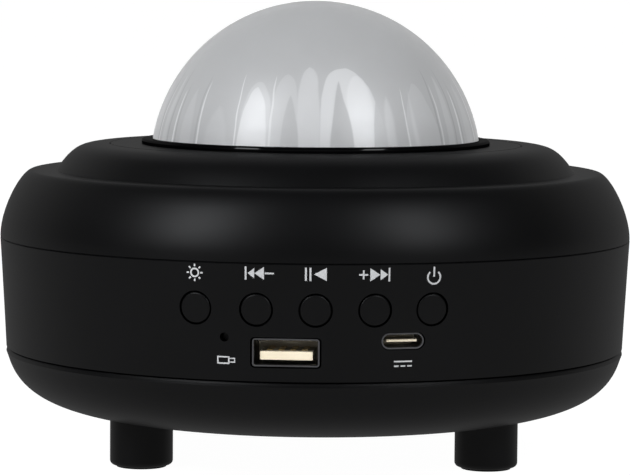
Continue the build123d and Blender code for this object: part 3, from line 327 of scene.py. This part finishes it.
def wheel_finish():
    """Clear plastic whose tint wanders a little."""
    finish, tree, shader = new_finish("clear_wheel")
    grain = grain_node(tree, *WHEEL_SCALES)
    uneven_tone(tree, shader, grain.outputs["Patch"], WHEEL_DARK, WHEEL_LIGHT)
    tree.links.new(spread(tree, grain.outputs["Grain"], *WHEEL_ROUGHNESS), shader.inputs["Roughness"])
    shader.inputs["Transmission Weight"].default_value = 1.0
    shader.inputs["IOR"].default_value = CLEAR_INDEX
    return finish


# Dome: what shows above the bezel, the sector that repeats, its grey and the white of its painted
# reflections, how these wander, how much painted light brightens its foot and painted shade darkens its
# crown, the scales of its noise, and how clear and shiny it is
DOME_BASE_Z = 70.4
DOME_SHOWN_HEIGHT = 30.65
DOME_SECTOR = 120
DOME_GREY = 0.56
# White that the painted reflections of the flutes reach
DOME_REFLECTION_WHITE = 0.9
DOME_SWAY = 1.2
DOME_LAP = 0.04
# Painted light that brightens the foot and painted shade that darkens the crown
DOME_PAINTED_FOOT_LIGHT = 0.16
DOME_PAINTED_CROWN_SHADE = 0.42
DOME_SWAY_SCALES = (45, 70)
DOME_SCALES = (500, 30)
DOME_PATCH = (-0.03, 0.04)
DOME_ROUGHNESS = (0.34, 0.4)
DOME_CLEARNESS = 0.5
DOME_SHINE = 0.1
# Painted reflections and painted shade that the flutes would show round one sector: angle of the middle, half
# width at the foot, top as a share of the height, brightness above the grey (below it for painted shade), how
# late and how bluntly it closes, and how soft its edge is
DOME_PAINTED_FLUTE_REFLECTIONS = [
    (-11.3, 5.2, 0.52, 0.2, 5, 0.5, 0.14),
    (-2.8, 4.4, 0.56, 0.36, 7, 0.5, 0.22),
    (12, 11.2, 0.535, 0.55, 4, 0.5, 0.07),
    (16.2, 5.6, 0.5, 0.78, 5, 0.5, 0.25),
    (-22.6, 6.8, 0.45, 0.22, 3, 0.5, 0.14),
    (-23.4, 6.2, 0.4, 0.62, 1.9, 0.6, 0.09),
    (-16.2, 0.55, 0.52, 0.6, 6, 0.5, 0.5),
    (27, 2.8, 0.36, 0.34, 3, 0.6, 0.6),
    (-9.2, 3.4, 0.38, -0.06, 1.3, 0.7, 0.2),
    (8.8, 4.4, 0.43, -0.04, 1.3, 0.7, 0.16),
    (22.4, 2.8, 0.32, 0.06, 1.3, 0.7, 0.2),
    (41, 7.6, 0.42, 0.2, 2, 0.6, 0.05),
    (34.2, 0.4, 0.4, 0.8, 4, 0.5, 0.4),
    (37.5, 1.8, 0.42, 0.5, 2, 0.8, 0.9),
    (-30.3, 0.35, 0.5, 0.7, 5, 0.5, 0.4),
    (-38, 5.5, 0.3, 0.16, 2, 0.6, 0.4),
    (-45.8, 0.5, 0.46, 0.85, 4, 0.5, 0.4),
    (-47, 0.5, 0.5, -0.25, 4, 0.5, 0.5),
    (-52, 3.5, 0.4, 0.2, 2, 0.6, 0.4),
    (-59, 0.7, 0.38, 0.9, 3, 0.5, 0.4),
    (-57.6, 0.5, 0.44, -0.3, 3, 0.5, 0.5),
    (49.8, 0.5, 0.44, 0.7, 4, 0.5, 0.4),
    (48.6, 0.5, 0.56, -0.35, 4, 0.5, 0.5),
    (54.5, 2.2, 0.5, 0.3, 3, 0.5, 0.4),
    (57.5, 0.5, 0.54, -0.35, 4, 0.5, 0.5),
]


def make_painted_reflection_group():
    """Mask of one painted reflection, a bright arch or dark wedge that stands on the dome's foot and closes
    upwards, from 0 to 1.
    """
    group = bpy.data.node_groups.new("painted_reflection_mark", "ShaderNodeTree")
    for label in ("Turn", "Rise", "Middle", "Half width", "Top", "Lateness", "Bluntness", "Softness"):
        group.interface.new_socket(label, in_out="INPUT", socket_type="NodeSocketFloat")
    group.interface.new_socket("Mask", in_out="OUTPUT", socket_type="NodeSocketFloat")
    entry = group.nodes.new("NodeGroupInput").outputs
    leave = group.nodes.new("NodeGroupOutput")
    off_middle = calc(group, "ABSOLUTE", calc(group, "SUBTRACT", entry["Turn"], entry["Middle"]))
    off_middle = calc(group, "DIVIDE", off_middle, entry["Half width"])
    risen = calc(group, "MAXIMUM", calc(group, "DIVIDE", entry["Rise"], entry["Top"]), 0.0)
    closing = calc(group, "SUBTRACT", 1.0, calc(group, "POWER", risen, entry["Lateness"]))
    limit = calc(group, "POWER", calc(group, "MAXIMUM", closing, 0.0), entry["Bluntness"])
    past = calc(group, "DIVIDE", calc(group, "SUBTRACT", off_middle, limit), entry["Softness"])
    edge = group.nodes.new("ShaderNodeMapRange")
    edge.interpolation_type = "SMOOTHSTEP"
    edge.inputs["From Min"].default_value = -1.0
    edge.inputs["From Max"].default_value = 0.0
    edge.inputs["To Min"].default_value = 1.0
    edge.inputs["To Max"].default_value = 0.0
    group.links.new(past, edge.inputs["Value"])
    group.links.new(edge.outputs["Result"], leave.inputs["Mask"])
    return group


def paint_flute_reflections(tree):
    """Painted reflections and painted shade of the flutes round the dome, with painted light at its foot and
    painted shade at its crown, as brightness above its grey.
    """
    group = make_painted_reflection_group()
    place = tree.nodes.new("ShaderNodeTexCoord")
    split = tree.nodes.new("ShaderNodeSeparateXYZ")
    tree.links.new(place.outputs["Object"], split.inputs[0])
    turn = calc(tree, "ARCTAN2", split.outputs["X"], calc(tree, "MULTIPLY", split.outputs["Y"], -1.0))
    turn = calc(tree, "WRAP", calc(tree, "DEGREES", turn), DOME_SECTOR / 2, -DOME_SECTOR / 2)
    rise = calc(tree, "SUBTRACT", split.outputs["Z"], DOME_BASE_Z * MM)
    rise = calc(tree, "DIVIDE", rise, DOME_SHOWN_HEIGHT * MM)
    sway = grain_node(tree, *DOME_SWAY_SCALES)
    turn = calc(tree, "ADD", turn, spread(tree, sway.outputs["Grain"], -DOME_SWAY, DOME_SWAY))
    rise = calc(tree, "ADD", rise, spread(tree, sway.outputs["Patch"], -DOME_LAP, DOME_LAP))
    shown = 0.0
    # Each flute adds its painted reflection or painted shade over the grey
    for middle, half_width, top, level, lateness, bluntness, softness in DOME_PAINTED_FLUTE_REFLECTIONS:
        painted_reflection_mark = tree.nodes.new("ShaderNodeGroup")
        painted_reflection_mark.node_tree = group
        values = (middle, half_width, top, lateness, bluntness, softness)
        labels = ("Middle", "Half width", "Top", "Lateness", "Bluntness", "Softness")
        for label, value in zip(labels, values):
            painted_reflection_mark.inputs[label].default_value = value
        tree.links.new(turn, painted_reflection_mark.inputs["Turn"])
        tree.links.new(rise, painted_reflection_mark.inputs["Rise"])
        change = calc(tree, "SUBTRACT", level, shown)
        shown = calc(tree, "MULTIPLY_ADD", painted_reflection_mark.outputs["Mask"], change, shown)
    # Painted light at the foot that fades into painted shade at the crown
    painted_foot_and_crown = calc(tree, "MULTIPLY_ADD", rise, -DOME_PAINTED_CROWN_SHADE, DOME_PAINTED_FOOT_LIGHT)
    return calc(tree, "ADD", shown, painted_foot_and_crown)


def dome_finish():
    """Hazy clear plastic, grey at the crown, with painted reflections of its flutes round its foot."""
    finish, tree, shader = new_finish("clear_dome")
    grain = grain_node(tree, *DOME_SCALES)
    shown = calc(tree, "ADD", paint_flute_reflections(tree), spread(tree, grain.outputs["Patch"], *DOME_PATCH))
    # Grey of the dome with the painted reflections and painted shade laid over it
    tone = calc(tree, "MULTIPLY_ADD", shown, DOME_REFLECTION_WHITE - DOME_GREY, DOME_GREY)
    tree.links.new(tone, shader.inputs["Base Color"])
    tree.links.new(spread(tree, grain.outputs["Grain"], *DOME_ROUGHNESS), shader.inputs["Roughness"])
    shader.inputs["Transmission Weight"].default_value = DOME_CLEARNESS
    shader.inputs["Specular IOR Level"].default_value = DOME_SHINE
    shader.inputs["IOR"].default_value = CLEAR_INDEX
    return finish


finishes["clear_dome"] = dome_finish()
finishes["clear_wheel"] = wheel_finish()


def dress_nodes():
    """Gives every piece of the frame the finish of its slot."""
    for row in frame["record"]["subparts"]:
        piece = nodes[row["node"]]
        piece.data.materials.clear()
        piece.data.materials.append(finishes[row["material_slot"]])


dress_nodes()

# Speaker's spider: the angle from which its edges are sharp
SPIDER_EDGE_ANGLE = 30


def bend_spider():
    """Copy of the spider with welded points and smooth shading, which takes the place of the frame's spider.
    """
    shape = bmesh.new()
    shape.from_mesh(nodes["speaker_spider"].data)
    bmesh.ops.remove_doubles(shape, verts=shape.verts, dist=WELD * MM)
    mesh = bpy.data.meshes.new("bending_spider")
    shape.to_mesh(mesh)
    shape.free()
    mesh.shade_smooth()
    mesh.set_sharp_from_angle(angle=math.radians(SPIDER_EDGE_ANGLE))
    mesh.materials.append(finishes["spider_cloth"])
    spider = bpy.data.objects.new("bending_spider", mesh)
    scene.collection.objects.link(spider)
    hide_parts("speaker_spider")
    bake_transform(spider)


bend_spider()


# Printed signs on the control band, drawn flat in millimetres from their middle and wrapped round the band:
# how far they stand off it, how thick they are and how finely bars, wedges and strokes are divided
PRINT_LIFT = 0.02
PRINT_THICKNESS = 0.05
BAR_CELLS = 4
RAY_CELLS = 2
WEDGE_CUTS = 5
ARC_STEPS = 40


def band_radius(height):
    """Outer radius of the control band at a height."""
    rise = (height - LOWER_SEAM_Z) / BAND_HEIGHT
    return BAND_FOOT_RADIUS + (BAND_HEAD_RADIUS - BAND_FOOT_RADIUS) * rise


def bar(shape, left, right, low, high):
    """Upright or level bar."""
    size = Matrix.Diagonal(((right - left), (high - low), 1, 1))
    place = Matrix.Translation(((left + right) / 2, (low + high) / 2, 0))
    bmesh.ops.create_grid(
        shape, x_segments=BAR_CELLS, y_segments=BAR_CELLS, size=0.5, matrix=place @ size
    )


def wedge(shape, base, tip, middle, height):
    """Triangle with an upright base, whose tip points left or right."""
    corners = ((base, middle - height / 2), (base, middle + height / 2), (tip, middle))
    points = [shape.verts.new((across, up, 0)) for across, up in corners]
    face = shape.faces.new(points)
    bmesh.ops.subdivide_edges(shape, edges=face.edges[:], cuts=WEDGE_CUTS, use_grid_fill=True)


def arc_stroke(shape, radius, stroke, start, sweep):
    """Round stroke through an angle, counted from the right."""
    ends = [shape.verts.new((radius + side * stroke / 2, 0, 0)) for side in (-1, 1)]
    line = shape.edges.new(ends)
    middle = Vector((0, 0, 0))
    bmesh.ops.rotate(shape, verts=ends, cent=middle, matrix=Matrix.Rotation(start, 3, "Z"))
    bmesh.ops.spin(
        shape, geom=[*ends, line], cent=middle, axis=(0, 0, 1), angle=sweep, steps=ARC_STEPS, use_merge=False
    )


def spoke_bar(shape, angle, inner, outer, stroke):
    """Short bar that points outwards from the middle of a sign."""
    size = Matrix.Diagonal((outer - inner, stroke, 1, 1))
    place = Matrix.Rotation(angle, 4, "Z") @ Matrix.Translation(((inner + outer) / 2, 0, 0))
    bmesh.ops.create_grid(
        shape, x_segments=RAY_CELLS, y_segments=RAY_CELLS, size=0.5, matrix=place @ size
    )


def lamp_sign(shape):
    """Small sun for the lamp."""
    arc_stroke(shape, 0.82, 0.34, 0, math.tau)
    for ray in range(8):
        spoke_bar(shape, ray * math.tau / 8, 1.25, 1.75, 0.32)


def back_sign(shape):
    """Bar and two wedges to the left, with a minus."""
    bar(shape, -2.99, -2.63, -1.35, 1.35)
    wedge(shape, -1.05, -2.4, 0, 2.1)
    wedge(shape, 0.95, -1.0, 0, 2.6)
    bar(shape, 1.1, 3.0, -0.17, 0.17)


def play_sign(shape):
    """Two bars and a wedge to the left."""
    bar(shape, -2.2, -1.82, -1.35, 1.35)
    bar(shape, -1.28, -0.9, -1.35, 1.35)
    wedge(shape, 2.2, -0.36, 0, 2.66)


def forward_sign(shape):
    """Plus, two wedges to the right and a bar."""
    bar(shape, -3.2, -1.35, -0.17, 0.17)
    bar(shape, -2.44, -2.11, 0.17, 0.93)
    bar(shape, -2.44, -2.11, -0.93, -0.17)
    wedge(shape, -0.91, 1.15, 0, 2.7)
    wedge(shape, 1.2, 2.75, 0, 2.3)
    bar(shape, 2.85, 3.2, -1.4, 1.4)


def power_sign(shape):
    """Open ring with an upright stroke in its gap."""
    arc_stroke(shape, 1.36, 0.36, math.radians(130), math.radians(280))
    bar(shape, -0.18, 0.18, 0.1, 2.15)


def stick_sign(shape):
    """Outline of a memory stick."""
    bar(shape, -1.9, 0.7, 0.52, 0.8)
    bar(shape, -1.9, 0.7, -0.8, -0.52)
    bar(shape, -1.9, -1.62, -0.52, 0.52)
    bar(shape, 0.42, 0.7, -0.52, 0.52)
    bar(shape, 0.7, 1.9, 0.26, 0.5)
    bar(shape, 0.7, 1.9, -0.5, -0.26)
    bar(shape, 1.66, 1.9, -0.26, 0.26)


def supply_sign(shape):
    """Full line over a broken one, for direct current."""
    bar(shape, -1.9, 1.9, 0.32, 0.62)
    for left in (-1.9, -0.5, 0.9):
        bar(shape, left, left + 1.0, -0.62, -0.32)


# Each sign with its angle from the front and the height of its middle
SIGNS = [
    ("lamp", lamp_sign, -20.6, 46.5),
    ("previous", back_sign, -9.4, 46.75),
    ("play", play_sign, 0.0, 46.7),
    ("next", forward_sign, 9.8, 46.6),
    ("power", power_sign, 20.1, 45.9),
    ("stick", stick_sign, -15.2, 28.8),
    ("supply", supply_sign, 15.0, 28.3),
]


def print_sign(name, draw, angle, height):
    """Draws one sign, lays it on the band and gives it the thickness of ink."""
    shape = bmesh.new()
    draw(shape)
    bmesh.ops.remove_doubles(shape, verts=shape.verts, dist=WELD)
    bmesh.ops.recalc_face_normals(shape, faces=shape.faces)
    for face in shape.faces:
        if face.normal.z < 0:
            face.normal_flip()
    for vert in shape.verts:
        level = height + vert.co.y
        radius = band_radius(level) + PRINT_LIFT
        turn = math.radians(angle) + vert.co.x / band_radius(height)
        vert.co = Vector((radius * math.sin(turn), -radius * math.cos(turn), level)) * MM
    shape.normal_update()
    bmesh.ops.solidify(shape, geom=shape.faces[:], thickness=PRINT_THICKNESS * MM)
    mesh = bpy.data.meshes.new(f"{name}_sign")
    shape.to_mesh(mesh)
    shape.free()
    mesh.materials.append(finishes["grey_print"])
    sign = bpy.data.objects.new(f"{name}_sign", mesh)
    scene.collection.objects.link(sign)
    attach(sign, "base")


for sign in SIGNS:
    print_sign(*sign)
